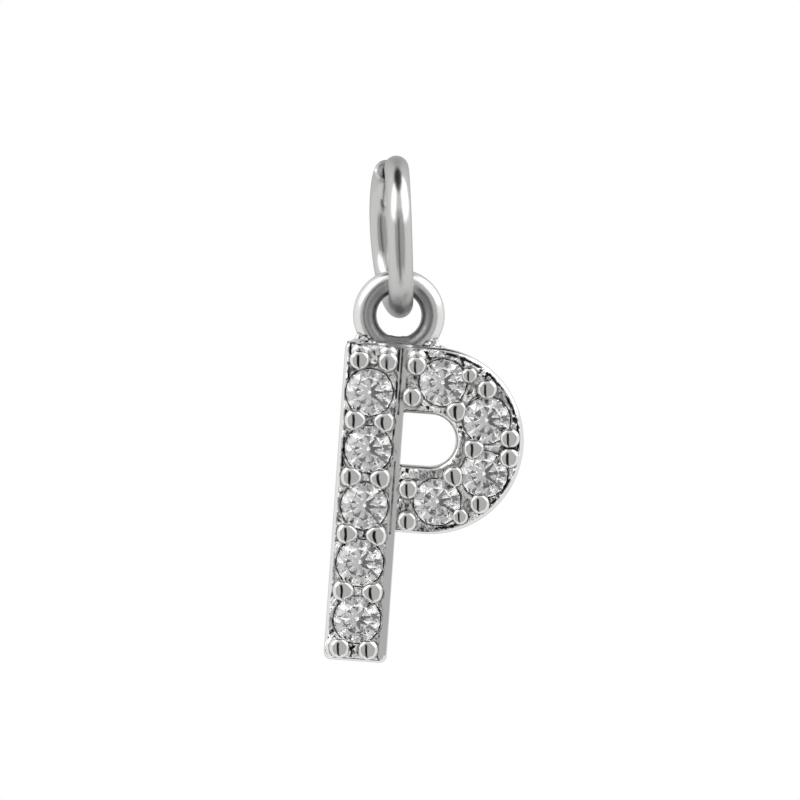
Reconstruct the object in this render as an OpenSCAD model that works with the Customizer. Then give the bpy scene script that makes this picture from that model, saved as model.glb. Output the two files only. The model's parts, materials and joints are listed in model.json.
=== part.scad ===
// Initial pendant: a cast letter with bead-set round stones, a soldered loop and a jump ring.
// Millimetres, +Z up, the stones face -Y, origin at the inside top of the jump ring.

/* [Jump ring] */
// Outer diameter of the jump ring
ring_d = 4.5; // [4.2:0.1:6]
// Thickness of the jump ring's wire
ring_wire_d = 0.68; // [0.5:0.02:0.84]
// Wear round the wire where the loop hangs
wire_wear = 0.006; // [0.004:0.001:0.02]
// Gap between the two ends of the wire
seam_gap = 0.05; // [0.03:0.01:0.1]
// Depth of the nip that the cutters left at each end
seam_nip = 0.12; // [0.05:0.01:0.2]
// Place of the seam behind the top, in degrees
seam_back = 12; // [8:1:40]
// Turn of the ring from edge-on, its front to the right, in degrees
ring_yaw = 6.3; // [0:0.1:12]
// Lean to the left of the ring's lowest stretch, which was bent as the ring was opened, in degrees
ring_lean = 16; // [0:0.5:20]
// Half of that lowest stretch, in degrees round the ring
bend_from = 20; // [15:1:40]
// Bend of the front half back to the right, in degrees
front_bend = 15; // [0:0.1:20]
// Bend of the rear half back to the right, in degrees
rear_bend = 12.2; // [0:0.1:20]

/* [Loop] */
// Hole of the soldered loop
loop_hole_d = 1.24; // [1.1:0.02:1.6]
// Thickness of the loop's wire
loop_wire_d = 0.65; // [0.5:0.01:0.8]
// How far the loop is let into the top of the letter
loop_sink = 0.45; // [0.3:0.01:0.5]
// Concave fillet of solder at each side of the loop's foot
foot_r = 0.25; // [0.15:0.01:0.35]
// Thickness of the solder, front to back
foot_t = 0.5; // [0.3:0.02:0.6]
// Running clearance between the loop and the wire that it hangs on
run_gap = 0.03; // [0.02:0.01:0.06]
// Lean of the hanging letter, foot to the left, in degrees
hang_tilt = 4; // [0:0.1:8]

/* [Letter] */
// Thickness of the letter, front to back
letter_t = 1.6; // [1.3:0.1:2.4]
// Rounding of the front edges
edge_r = 0.15; // [0.08:0.01:0.18]
// Metal beside the stones of the stem
stem_rim = 0.22; // [0.2:0.005:0.4]
// Metal beside the stones of the bowl
bowl_rim = 0.28; // [0.22:0.005:0.4]
// Top of the letter to the first stone
top_margin = 1.37; // [1.2:0.005:1.6]
// Last stone to the foot of the letter
foot_margin = 1.145; // [1:0.005:1.5]
// Height of the counter, the hole in the bowl
counter_h = 1.44; // [1.3:0.01:1.8]
// Straight part of the bowl, from the stem to its round end
bowl_straight = 0.78; // [0.7:0.01:1.2]
// Loop's centre line to the stem's centre line
stem_aside = 0.55; // [0.2:0.01:0.8]
// Radius of the stem's corners, seen from the front
corner_r = 0.2; // [0.16:0.01:0.3]
// Width of the groove between the stem and the bowl
groove_w = 0.12; // [0.06:0.01:0.16]

/* [Stones] */
// Diameter of each stone
stone_d = 1.3; // [1.2:0.01:1.34]
// Distance between stones along the stem
stem_pitch = 1.57; // [1.5:0.01:1.75]
// Shift of the stem's row of stones and beads to the left of its middle
row_shift = 0.05; // [0:0.01:0.06]
// Girdle of the stones below the face of the letter
girdle_drop = 0.08; // [0.05:0.01:0.15]
// Gap between a stone and its seat
stone_gap = 0.02; // [0.015:0.005:0.03]

/* [Beads] */
// Radius of a bead
bead_r = 0.28; // [0.24:0.01:0.3]
// Height of a bead's centre above the face
bead_lift = 0.03; // [0:0.01:0.08]
// Distance between the two beads of a pair on the stem
stem_bead_pair = 0.78; // [0.66:0.01:0.8]
// First stone of the stem to the pair of beads above it
top_bead_reach = 0.87; // [0.78:0.01:0.9]
// Last stone of the stem to the pair of beads below it
foot_bead_reach = 0.8; // [0.78:0.01:0.9]

/* [Hidden] */
$fn = 48;

// Cut of the stones, as shares of their diameter
table_share = 0.6;
crown_share = 0.15;
girdle_share = 0.03;
pavilion_share = 0.405;
// Place of the crown's and the pavilion's middle corners, from 0 at the girdle to 1
crown_mid = 0.5;
pavilion_mid = 0.76;

// Stones of the stem from the top down: place beside the row, as a share of the stone's diameter,
// and the stone's own turn in its seat, in degrees
ASIDE = 0;
TURN = 1;
stem_stones = [[-0.05, 6], [0.01, 14], [0.01, 0], [0, 11], [0.025, 19]];

// Round the bowl a piece has its place in degrees clockwise from straight up, and its distance out
// from the middle of the band, as a share of half the band
PLACE = 0;
OUT = 1;
BOWL_TURN = 2;
bowl_stones = [[8.5, -0.02, 4], [66.5, 0.01, 15], [118, 0.11, 9], [169.5, 0.06, 20]];
bowl_beads = [
    [38, -0.59], [97, -0.45], [143, -0.49],
    [27, 0.48], [44, 0.49], [84.5, 0.58], [98.5, 0.62], [138, 0.6], [154.5, 0.64]];
// Beads on the bowl's two arms: the arm, 1 above and -1 below the counter, the distance from the
// stem as a share of the arm's straight part, and the distance out as round the bowl
ARM = 0;
ALONG = 1;
ARM_OUT = 2;
arm_beads = [[1, 0.34, 0.41], [1, 0.26, -0.53], [-1, 0.34, -0.29], [-1, 0.38, 0.66]];

stone_r = stone_d / 2;
crown_h = stone_d * crown_share;
girdle_h = stone_d * girdle_share;
pavilion_h = stone_d * pavilion_share;
table_r = stone_r * table_share;

// How far the ring's worn stretch runs on inside each half, in degrees, and the solder inside the loop
worn_lap = 2;
solder_lap = 0.03;
// The ring's wire runs round this circle, and the loop hangs at its lowest point
wire_r = ring_wire_d / 2;
ring_r = ring_d / 2 - wire_r;
loop_r = (loop_hole_d + loop_wire_d) / 2;
loop_out_r = loop_r + loop_wire_d / 2;
hang_drop = loop_hole_d / 2 - (wire_r - wire_wear) - run_gap;

// The letter is drawn about the loop's centre: x right, y up, z out of its face
top_y = loop_sink - loop_out_r;
stem_w = stone_d + 2 * stem_rim;
band_w = stone_d + 2 * bowl_rim;
last = len(stem_stones) - 1;
letter_h = top_margin + last * stem_pitch + foot_margin;
foot_y = top_y - letter_h;
stem_x = -stem_aside;
stem_right = stem_x + stem_w / 2;
counter_r = counter_h / 2;
bowl_r = counter_r + band_w;
bowl_mid_r = counter_r + band_w / 2;
bowl_x = stem_right + bowl_straight;
bowl_y = top_y - bowl_r;
face_z = letter_t / 2;
girdle_z = face_z - girdle_drop;
groove_x = stem_right - edge_r;

// A vector turned about a unit axis
function turned(v, axis, a) = v * cos(a) + cross(axis, v) * sin(a) + axis * (axis * v) * (1 - cos(a));
// The ring before it is set: a point of its wire and the way it runs, by degrees from the lowest point
function ring_point(a) = ring_r * [0, -sin(a), 1 - cos(a)];
function ring_way(a) = [0, -cos(a), sin(a)];
function bent_point(a, from, bend) =
    ring_point(from) + turned(ring_point(a) - ring_point(from), ring_way(from), bend);
bent_top = bent_point(180, bend_from, -front_bend);
ring_top = turned(turned(bent_top, [0, 1, 0], -ring_lean), [0, 0, 1], ring_yaw);
seam_at = 180 + seam_back;
pivot = [0, 0, wire_r] - ring_top;

function circle_of(n, r, z, from = 0) =
    [for (i = [0:n - 1]) [r * cos(from + i * 360 / n), r * sin(from + i * 360 / n), z]];
// Places on the letter: down the stem's row in pitches from the first stone, and round the bowl
function on_row(step, aside) = [stem_x - row_shift + aside, top_y - top_margin - step * stem_pitch];
function on_bowl(piece) =
    [bowl_x, bowl_y] + (bowl_mid_r + piece[OUT] * band_w / 2) * [sin(piece[PLACE]), cos(piece[PLACE])];
function on_arm(piece) = [stem_right + piece[ALONG] * bowl_straight,
    bowl_y + piece[ARM] * (bowl_mid_r + piece[ARM_OUT] * band_w / 2)];
function stem_stone_at(i) = on_row(i, stem_stones[i][ASIDE] * stone_d);
stone_places = concat([for (i = [0:last]) stem_stone_at(i)], [for (s = bowl_stones) on_bowl(s)]);

// Pairs of beads between the stem's stones and beyond its two end stones
pair_steps = concat([-top_bead_reach / stem_pitch], [for (i = [0:last - 1]) i + 0.5],
    [last + foot_bead_reach / stem_pitch]);
stem_bead_places = [for (s = pair_steps, side = [-1, 1]) on_row(s, side * stem_bead_pair / 2)];
bead_places = concat(stem_bead_places, [for (b = bowl_beads) on_bowl(b)], [for (b = arm_beads) on_arm(b)]);

module ring_arc(from, to, r = wire_r)
    translate([0, 0, ring_r]) rotate([0, 90, 180]) rotate([0, 0, from])
        rotate_extrude(angle = to - from) translate([ring_r, 0]) circle(r = r);

module bent(from, bend)
    translate(ring_point(from)) rotate(a = bend, v = ring_way(from)) translate(-ring_point(from))
        children();

// The nips are notches across the wire, outside and inside the ring
module seam_nips()
    translate([0, 0, ring_r]) rotate([0, 90, 180]) rotate([0, 0, seam_at])
        for (r = [ring_r - wire_r, ring_r + wire_r])
            translate([r, 0, 0]) rotate([0, 0, 45])
                cube([seam_nip * sqrt(2), seam_nip * sqrt(2), 3 * ring_wire_d], center = true);

module jump_ring() {
    half_gap = seam_gap / 2 / ring_r * 180 / PI;
    color("silver") translate(pivot) rotate([0, 0, ring_yaw]) rotate([0, -ring_lean, 0]) {
        ring_arc(-bend_from - worn_lap, bend_from + worn_lap, wire_r - wire_wear);
        bent(bend_from, -front_bend) difference() {
            ring_arc(bend_from, seam_at - half_gap);
            seam_nips();
        }
        bent(-bend_from, -rear_bend) difference() {
            ring_arc(seam_at + half_gap - 360, -bend_from);
            seam_nips();
        }
    }
}

// Stands a drawing about the loop's centre upright where it hangs
module hung()
    translate(pivot) rotate([0, hang_tilt, 0]) translate([0, 0, -hang_drop]) rotate([90, 0, 0]) children();

// Cross-section of a bar with its front edges rounded: x across, y out of the face
module bar_section(w) {
    translate([-w / 2, -face_z]) square([w, letter_t - edge_r]);
    translate([edge_r - w / 2, 0]) square([w - 2 * edge_r, face_z]);
    for (side = [-1, 1]) translate([side * (w / 2 - edge_r), face_z - edge_r]) circle(r = edge_r);
}

module stem() intersection() {
    translate([stem_x, top_y, 0]) rotate([90, 0, 0]) linear_extrude(letter_h) bar_section(stem_w);
    translate([stem_x - stem_w / 2, top_y - letter_h / 2, 0]) rotate([90, 0, 90])
        linear_extrude(stem_w) bar_section(letter_h);
    translate([stem_x, 0, -face_z]) linear_extrude(letter_t) {
        translate([-stem_w / 2, foot_y + corner_r]) square([stem_w, letter_h - 2 * corner_r]);
        translate([corner_r - stem_w / 2, foot_y]) square([stem_w - 2 * corner_r, letter_h]);
        translate([0, top_y - corner_r]) square([stem_w / 2, corner_r]);
        for (corner = [[-1, foot_y + corner_r], [1, foot_y + corner_r], [-1, top_y - corner_r]])
            translate([corner.x * (stem_w / 2 - corner_r), corner.y]) circle(r = corner_r);
    }
}

module bowl() {
    translate([bowl_x, bowl_y, 0]) rotate([0, 0, -90])
        rotate_extrude(angle = 180) translate([bowl_mid_r, 0]) bar_section(band_w);
    for (side = [-1, 1])
        translate([stem_x, bowl_y + side * bowl_mid_r, 0]) rotate([90, 0, 90])
            linear_extrude(bowl_x - stem_x) bar_section(band_w);
}

// Grooves across the face where the stem meets the two arms of the bowl
module grooves()
    for (side = [-1, 1])
        translate([groove_x, bowl_y + side * bowl_mid_r, face_z]) rotate([90, 0, 0]) rotate([0, 0, 45])
            cube([groove_w / sqrt(2), groove_w / sqrt(2), band_w + edge_r], center = true);

// Solder drawn up the loop on each side and across the bottom of its hole
module solder() {
    fillet_y = top_y + foot_r;
    fillet_x = sqrt(pow(loop_out_r + foot_r, 2) - pow(fillet_y, 2)) - solder_lap;
    translate([0, 0, -foot_t / 2]) linear_extrude(foot_t) difference() {
        translate([-fillet_x, top_y - foot_r]) square([2 * fillet_x, 2 * foot_r]);
        for (side = [-1, 1]) translate([side * fillet_x, fillet_y]) circle(r = foot_r);
    }
}

module beads() {
    for (p = bead_places) translate([p.x, p.y, face_z + bead_lift]) sphere(r = bead_r);
}

// Room for a stone: its cone below the girdle, a straight wall up to the face and its crown above
module seat() {
    wide = stone_r + stone_gap;
    crown_top = girdle_h / 2 + crown_h;
    at_face = stone_r - (girdle_drop - girdle_h / 2) / crown_h * (stone_r - table_r) + 2 * stone_gap;
    rotate_extrude() polygon([[0, -pavilion_h - girdle_h / 2 - 2 * stone_gap],
        [wide, -girdle_h / 2 - stone_gap], [wide, girdle_drop], [at_face, girdle_drop],
        [table_r + 2 * stone_gap, crown_top], [table_r, 2 * crown_top], [0, 2 * crown_top]]);
}

module letter_setting() color("gainsboro") hung() difference() {
    union() {
        stem();
        bowl();
        beads();
        solder();
        rotate_extrude() translate([loop_r, 0]) circle(d = loop_wire_d);
    }
    grooves();
    for (p = stone_places) translate([p.x, p.y, girdle_z]) seat();
}

// A round brilliant about the middle of its girdle: table, crown, girdle, pavilion and point
module brilliant() {
    half = 360 / 16;
    mid_r = (stone_r + (table_r - stone_r) * crown_mid) / cos(half);
    low_r = stone_r * (1 - pavilion_mid) / cos(half);
    points = concat(
        circle_of(8, table_r, girdle_h / 2 + crown_h),
        circle_of(8, mid_r, girdle_h / 2 + crown_h * crown_mid, half),
        circle_of(16, stone_r, girdle_h / 2),
        circle_of(16, stone_r, -girdle_h / 2),
        circle_of(8, low_r, -girdle_h / 2 - pavilion_h * pavilion_mid, half),
        [[0, 0, -girdle_h / 2 - pavilion_h]]);
    mid = 8;
    upper = 16;
    lower = 32;
    deep = 48;
    tip = 56;
    faces = concat(
        [[for (i = [7:-1:0]) i]],
        [for (i = [0:7]) [i, (i + 1) % 8, mid + i]],
        [for (i = [0:7]) [i, mid + i, upper + 2 * i, mid + (i + 7) % 8]],
        [for (i = [0:7]) [mid + i, upper + 2 * i + 1, upper + 2 * i]],
        [for (i = [0:7]) [mid + i, upper + (2 * i + 2) % 16, upper + 2 * i + 1]],
        [for (i = [0:15]) [upper + i, upper + (i + 1) % 16, lower + (i + 1) % 16, lower + i]],
        [for (i = [0:7]) [lower + 2 * i, lower + 2 * i + 1, deep + i]],
        [for (i = [0:7]) [lower + 2 * i + 1, lower + (2 * i + 2) % 16, deep + i]],
        [for (i = [0:7]) [deep + i, tip, deep + (i + 7) % 8, lower + 2 * i]]);
    polyhedron(points, faces);
}

module stone_in(p, turn)
    color("whitesmoke") hung() translate([p.x, p.y, girdle_z]) rotate([0, 0, turn]) brilliant();

module stem_stone(i) stone_in(stem_stone_at(i), stem_stones[i][TURN]);
module bowl_stone(i) stone_in(on_bowl(bowl_stones[i]), bowl_stones[i][BOWL_TURN]);

jump_ring();
letter_setting();
stem_stone(0);  // stem_stone_1
stem_stone(1);  // stem_stone_2
stem_stone(2);  // stem_stone_3
stem_stone(3);  // stem_stone_4
stem_stone(4);  // stem_stone_5
bowl_stone(0);  // bowl_stone_1
bowl_stone(1);  // bowl_stone_2
bowl_stone(2);  // bowl_stone_3
bowl_stone(3);  // bowl_stone_4
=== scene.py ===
# %% [markdown]
# # A small letter pendant
# A letter P cast in brass, set with nine round stones, plated a bright silver colour and hung
# from a round-wire jump ring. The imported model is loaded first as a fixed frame: everything
# modelled here goes exactly where that model has it. The two metal pieces are modelled again
# with smooth surfaces, because a polished metal shows each facet of a mesh as a hard edge in its
# reflections. The cut stones stay as they come: flat facets are what they should have.

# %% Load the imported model
import bpy
import json
from math import atan2, cos, degrees, pi, radians, sin, sqrt
from mathutils import Matrix, Vector


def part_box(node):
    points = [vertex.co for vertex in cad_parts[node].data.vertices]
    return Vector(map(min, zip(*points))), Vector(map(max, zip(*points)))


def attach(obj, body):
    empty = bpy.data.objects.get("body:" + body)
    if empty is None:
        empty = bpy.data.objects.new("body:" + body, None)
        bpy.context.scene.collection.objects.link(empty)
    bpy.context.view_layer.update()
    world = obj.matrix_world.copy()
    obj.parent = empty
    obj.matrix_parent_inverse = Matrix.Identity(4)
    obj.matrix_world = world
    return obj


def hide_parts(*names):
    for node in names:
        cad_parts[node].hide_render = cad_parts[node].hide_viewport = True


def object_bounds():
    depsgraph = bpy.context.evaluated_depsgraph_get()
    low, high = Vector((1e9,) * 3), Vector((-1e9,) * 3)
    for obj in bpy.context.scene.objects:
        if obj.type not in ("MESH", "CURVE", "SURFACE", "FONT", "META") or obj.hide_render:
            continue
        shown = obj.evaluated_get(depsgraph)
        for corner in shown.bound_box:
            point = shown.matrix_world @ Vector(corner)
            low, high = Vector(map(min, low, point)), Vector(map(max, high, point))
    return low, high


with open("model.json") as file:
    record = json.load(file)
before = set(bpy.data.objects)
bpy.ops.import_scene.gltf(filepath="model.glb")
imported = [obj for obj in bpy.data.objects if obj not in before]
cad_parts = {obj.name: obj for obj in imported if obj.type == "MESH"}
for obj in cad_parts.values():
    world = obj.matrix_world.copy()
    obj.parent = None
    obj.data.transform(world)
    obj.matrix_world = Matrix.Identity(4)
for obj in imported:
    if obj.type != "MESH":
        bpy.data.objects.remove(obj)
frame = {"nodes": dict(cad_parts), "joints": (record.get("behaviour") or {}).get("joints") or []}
cad_box = [list(corner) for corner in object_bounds()]
scene = bpy.context.scene
MM = 0.001
print("nodes:", sorted(frame["nodes"]), "box:", cad_box)

# %% [markdown]
# ## The camera
# The photograph looks straight at the letter's face with a long lens, so that nothing in it
# narrows with distance. 22.16 mm of the pendant's plane fill the picture's width. A lens is
# chosen by the distance: sensor width times distance, divided by that width.

# %% Camera
VIEW_WIDTH = 22.16              # all sizes in this file are in mm, unless a comment says otherwise
VIEW_CENTRE = (0.105, -6.09)    # across and up from the frame's origin
CAMERA_AWAY = 150
SENSOR_WIDTH = 36

camera_data = bpy.data.cameras.new("photo_camera")
camera_data.sensor_width = SENSOR_WIDTH
camera_data.lens = SENSOR_WIDTH * CAMERA_AWAY / VIEW_WIDTH
camera_data.clip_start = 0.01
camera_data.clip_end = 10
camera = bpy.data.objects.new("photo_camera", camera_data)
camera.location = (VIEW_CENTRE[0] * MM, -CAMERA_AWAY * MM, VIEW_CENTRE[1] * MM)
camera.rotation_euler = (radians(90), 0, 0)
scene.collection.objects.link(camera)
scene.camera = camera
scene.view_settings.view_transform = "Standard"
print("lens:", round(camera_data.lens, 1), "mm")

# %% [markdown]
# ## Colours and nodes
# Colours are written as the hex values that a paint program shows. Blender's shaders count in
# linear light, so one function turns them. Another adds a node with its settings and links.

# %% Colours and nodes
def colour(code):
    """An sRGB hex code as a linear RGBA colour."""
    parts = [int(code[i:i + 2], 16) / 255 for i in (1, 3, 5)]
    return [c / 12.92 if c <= 0.04045 else ((c + 0.055) / 1.055) ** 2.4 for c in parts] + [1]


def add_node(tree, kind, settings=None, inputs=None):
    """A node of that kind. An input is a value, an output to link or a node to link from."""
    node = tree.nodes.new(kind)
    for name, value in (settings or {}).items():
        setattr(node, name, value)
    for name, value in (inputs or {}).items():
        if isinstance(value, bpy.types.Node):
            value = value.outputs[0]
        if isinstance(value, bpy.types.NodeSocket):
            tree.links.new(value, node.inputs[name])
        else:
            node.inputs[name].default_value = value
    return node


print("mid grey, #808080, in linear light:", round(colour("#808080")[0], 3))

# %% [markdown]
# ## The light
# Small polished metal shows little of its own: it shows the room. Such pieces are photographed
# in a tent of white cloth on dark poles. It has a grey front with a slot for the lens, two bright
# side lights from above, a bright table and a hole in its top. That tent is built here as the
# world: each panel is a range of compass angle and of height, with soft edges. Azimuth 0 is
# towards the camera, and it grows to the camera's right. The camera itself sees plain white
# cloth behind the piece.

# %% Directions and panels in the tent
world = bpy.data.worlds.new("light_tent")
scene.world = world
world.use_nodes = True
tent = world.node_tree
tent.nodes.clear()
# on a world, Generated is the direction of the view ray
way = add_node(tent, "ShaderNodeTexCoord")
axes = add_node(tent, "ShaderNodeSeparateXYZ", inputs={0: way.outputs["Generated"]})
forward = add_node(tent, "ShaderNodeMath", {"operation": "MULTIPLY"},
                   {0: axes.outputs["Y"], 1: -1.0})
turn = add_node(tent, "ShaderNodeMath", {"operation": "ARCTAN2"},
                {0: axes.outputs["X"], 1: forward})
height = add_node(tent, "ShaderNodeMath", {"operation": "ARCSINE"}, {0: axes.outputs["Z"]})


def share_inside(angle, middle, half, soft):
    """1 within half of the middle, falling to 0 over the soft edge. All are degrees."""
    off = add_node(tent, "ShaderNodeMath", {"operation": "SUBTRACT"},
                   {0: angle, 1: radians(middle)})
    off = add_node(tent, "ShaderNodeMath", {"operation": "ABSOLUTE"}, {0: off})
    return add_node(tent, "ShaderNodeMapRange", {"interpolation_type": "SMOOTHSTEP"},
                    {"Value": off, "From Min": radians(half - soft / 2),
                     "From Max": radians(half + soft / 2), "To Min": 1.0, "To Max": 0.0})


def hang_panel(light, brightness, azimuth, half_width, elevation, half_height, soft):
    """The tent's light with one more panel laid over it."""
    across = share_inside(turn, azimuth, half_width, soft)
    up = share_inside(height, elevation, half_height, soft)
    both = add_node(tent, "ShaderNodeMath", {"operation": "MULTIPLY"}, {0: across, 1: up})
    return add_node(tent, "ShaderNodeMix", {"data_type": "FLOAT"},
                    {"Factor": both, "A": light, "B": brightness})


print("the tent begins with", len(tent.nodes), "nodes")

# %% Hang the panels
# brightness, azimuth, half width, elevation, half height, soft edge, all angles in degrees
PANELS = {
    "right wall": (1.0, 80, 44, 0, 95, 20),
    "left wall": (1.0, -80, 44, 0, 95, 20),
    "grey back, right half": (0.5, 180, 26, 0, 70, 40),
    "grey back, left half": (0.5, -180, 26, 0, 70, 40),
    "bright table": (1.0, 0, 360, -90, 50, 12),
    "upper front": (0.85, 0, 38, 62, 40, 10),
    "grey front": (0.55, 0, 38, -4, 40, 10),
    "right light": (2.2, 76, 40, 49, 31, 10),
    "left light": (2.2, -58, 26, 49, 31, 10),
    "left pole": (0.2, -40, 3, -10, 40, 3),
    "right pole": (0.2, 40, 3, -10, 40, 3),
    "shade below the lens": (0.45, -4, 20, -60, 18, 8),
    "lens slot": (0.01, -9, 6.5, -25, 51, 4),
    "top hole": (0.02, 0, 360, 90, 25, 14),
}
BARE_CLOTH = 0.85
light = BARE_CLOTH
for panel in PANELS.values():
    light = hang_panel(light, *panel)
ray = add_node(tent, "ShaderNodeLightPath")
cloth = add_node(tent, "ShaderNodeMix", {"data_type": "FLOAT"},
                 {"Factor": ray.outputs["Is Camera Ray"], "A": light, "B": 1.0})
glow = add_node(tent, "ShaderNodeBackground", inputs={
    "Color": colour("#FFFFFF"), "Strength": cloth})
add_node(tent, "ShaderNodeOutputWorld", inputs={"Surface": glow})
print("panels in the tent:", ", ".join(PANELS))

# %% [markdown]
# ## The floor
# A matte white sheet lies well below the hanging letter, and the straight view looks over it. It
# glows a little, as a sheet does that is lit from all round, and it is kept out of the metal's
# reflections, where the tent's own bright table stands for it.

# %% Floor
FLOOR_DROP = 22
FLOOR_SIZE = 260
bpy.ops.object.select_all(action="DESELECT")
bpy.ops.mesh.primitive_circle_add(vertices=96, radius=FLOOR_SIZE / 2 * MM,
                                  fill_type="NGON",
                                  location=(0, 0, cad_box[0][2] - FLOOR_DROP * MM))
floor = bpy.context.object
floor.name = "floor"
bpy.ops.object.transform_apply(location=True)
paper = bpy.data.materials.new("matte_white_paper")
paper.use_nodes = True
sheet = paper.node_tree.nodes["Principled BSDF"]
sheet.inputs["Base Color"].default_value = colour("#F4F4F2")
sheet.inputs["Roughness"].default_value = 0.9
sheet.inputs["Emission Color"].default_value = colour("#FFFFFF")
sheet.inputs["Emission Strength"].default_value = 0.3
floor.data.materials.append(paper)
floor.visible_glossy = False
print("floor at", round(floor.data.vertices[0].co.z / MM, 1), "mm")

# %% [markdown]
# ## Ways of working
# Each piece starts as a primitive and is shaped in edit mode. Faces and edges are picked by
# where they are, and the operators then act on them. The work is done with one Blender unit
# for a millimetre, where the operators' own small distances are harmless, and each finished
# piece is brought to metres at the end.

# %% Start, pick and close
HAIR = 0.001    # what lies nearer than this counts as the same place


def start(operator, **settings):
    """A primitive with its place in its mesh, and nothing else selected."""
    bpy.ops.object.select_all(action="DESELECT")
    operator(**settings)
    bpy.ops.object.transform_apply(location=True, rotation=True, scale=True)
    return bpy.context.object


def alone(piece):
    """Makes a piece the active object and the only selected one."""
    bpy.ops.object.select_all(action="DESELECT")
    bpy.context.view_layer.objects.active = piece
    piece.select_set(True)


def pick(piece, kind, test):
    """Opens the piece in edit mode, with the vertices, edges or faces that pass the test."""
    alone(piece)
    bpy.ops.object.mode_set(mode="EDIT")
    bpy.ops.mesh.select_mode(type=kind)
    bpy.ops.mesh.select_all(action="DESELECT")
    bpy.ops.object.mode_set(mode="OBJECT")
    mesh = piece.data
    if kind == "VERT":
        for vertex in mesh.vertices:
            vertex.select = test(vertex)
    elif kind == "EDGE":
        for edge in mesh.edges:
            edge.select = test(*[mesh.vertices[i].co for i in edge.vertices])
    else:
        for face in mesh.polygons:
            face.select = test(face)
    bpy.ops.object.mode_set(mode="EDIT")


def close(piece):
    """Leaves edit mode, and gives back how many faces the piece has."""
    bpy.ops.object.mode_set(mode="OBJECT")
    return len(piece.data.polygons)


print("drawn in mm, with places told apart to", HAIR)

# %% [markdown]
# ## The jump ring
# Jump rings are wound from drawn wire on a rod and sawn apart, and are opened and closed with
# pliers. This one was opened once: its lowest stretch leans, and its two halves were bent back
# upright, which leaves them a little apart at the top, where the seam shows. One circle, the
# wire's section, is spun round the ring. Each half is then turned about the line that the wire
# follows where the half begins, so that the wire stays whole.

# %% Spin the wire
RING_D = 4.5
WIRE_D = 0.68
SEAM_GAP = 0.05
SEAM_CHAMFER = 0.07
# angles in degrees: the seam's place behind the top, where the bends begin, how far each half is
# bent, how far the lowest stretch leans, and the ring's turn about the upright
SEAM_BACK = 12
BEND_FROM = 20
FRONT_BEND = -15
REAR_BEND = -12.2
RING_LEAN = -16
RING_YAW = 6.3
WIRE_SIDES = 64
SPIN_STEP = 2.5
wire_r = WIRE_D / 2
ring_r = RING_D / 2 - wire_r


def on_ring(angle):
    """A point of the unbent ring, in degrees from its lowest point towards the front."""
    return Vector((0, -ring_r * sin(radians(angle)), ring_r * (1 - cos(radians(angle)))))


half_gap = degrees(SEAM_GAP / 2 / ring_r)
chamfer = degrees(SEAM_CHAMFER / ring_r)
ends = (180 + SEAM_BACK + half_gap + chamfer - 360, 180 + SEAM_BACK - half_gap - chamfer)
ring = start(bpy.ops.mesh.primitive_circle_add, vertices=WIRE_SIDES, radius=wire_r,
             location=on_ring(ends[0]), rotation=(radians(90 - ends[0]), 0, 0))
pick(ring, "VERT", lambda vertex: True)
stops = (ends[0], -BEND_FROM, BEND_FROM, ends[1])
counts = []
for begin, end in zip(stops, stops[1:]):
    bpy.ops.mesh.spin(steps=round((end - begin) / SPIN_STEP), angle=radians(end - begin),
                      center=(0, 0, ring_r), axis=(1, 0, 0))
    close(ring)
    counts.append(len(ring.data.vertices))
    bpy.ops.object.mode_set(mode="EDIT")
print("wire of", close(ring), "faces, vertices after each stretch:", counts)

# %% [markdown]
# The wire's two cut ends get a small chamfer and are closed. The pliers leave such ends a hair
# apart, and the chamfers catch the light on each side of the dark gap.

# %% Chamfer and close the ends
def extrude(x=0, y=0, z=0):
    """Extrudes what is selected, and moves the new part."""
    bpy.ops.mesh.extrude_region_move(TRANSFORM_OT_translate={"value": (x, y, z)})


def in_section(corner, middle, along):
    """Whether a corner lies in the wire's section at that middle, which faces along."""
    out = corner - middle
    return out.length < wire_r + HAIR and abs(out.dot(along)) < HAIR * SEAM_CHAMFER


for angle, way_on in ((ends[0], -1), (ends[1], 1)):
    middle = on_ring(angle)
    along = Vector((0, -cos(radians(angle)), sin(radians(angle)))) * way_on * SEAM_CHAMFER
    pick(ring, "EDGE", lambda a, b: in_section(a, middle, along) and in_section(b, middle, along))
    extrude(*along)
    share = 1 - SEAM_CHAMFER / wire_r
    bpy.ops.transform.resize(value=(share,) * 3, center_override=middle + along)
    bpy.ops.mesh.edge_face_add()
    print("end at", [round(c, 2) for c in middle], "faces:", close(ring))

# %% [markdown]
# A piece is finished in the same few steps each time. Points in one place are merged and the
# faces turned outwards, because spinning can leave them inwards. It is brought to its place in
# metres, with the object itself left at the origin. Its faces are shaded smooth up to an angle,
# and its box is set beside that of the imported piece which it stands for.

# %% Finish a piece
def turned_right(piece):
    """Merges doubles and points all faces outwards."""
    pick(piece, "VERT", lambda vertex: True)
    bpy.ops.mesh.remove_doubles(threshold=HAIR / 2)
    bpy.ops.mesh.normals_make_consistent(inside=False)
    close(piece)
    return piece


def settle(piece, matrix):
    """Takes a piece from its drawing to its place in the pendant, in metres."""
    alone(piece)
    piece.matrix_world = matrix @ Matrix.Scale(MM, 4)
    bpy.ops.object.transform_apply(location=True, rotation=True, scale=True)


def smooth(piece, angle):
    """Smooth shading up to that angle between faces, with flat faces kept flat."""
    alone(piece)
    bpy.ops.object.shade_smooth_by_angle(angle=radians(angle))
    modifier = piece.modifiers.new("weighted", "WEIGHTED_NORMAL")
    modifier.keep_sharp = True
    bpy.ops.object.modifier_apply(modifier=modifier.name)


def compare(piece, node):
    """Prints the piece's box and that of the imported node, in millimetres."""
    for low_or_high, packed in zip((min, max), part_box(node)):
        made = [low_or_high(v.co[i] for v in piece.data.vertices) for i in range(3)]
        print(piece.name, low_or_high.__name__, [round(c / MM, 3) for c in made],
              "packed", [round(c / MM, 3) for c in packed])


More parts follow.
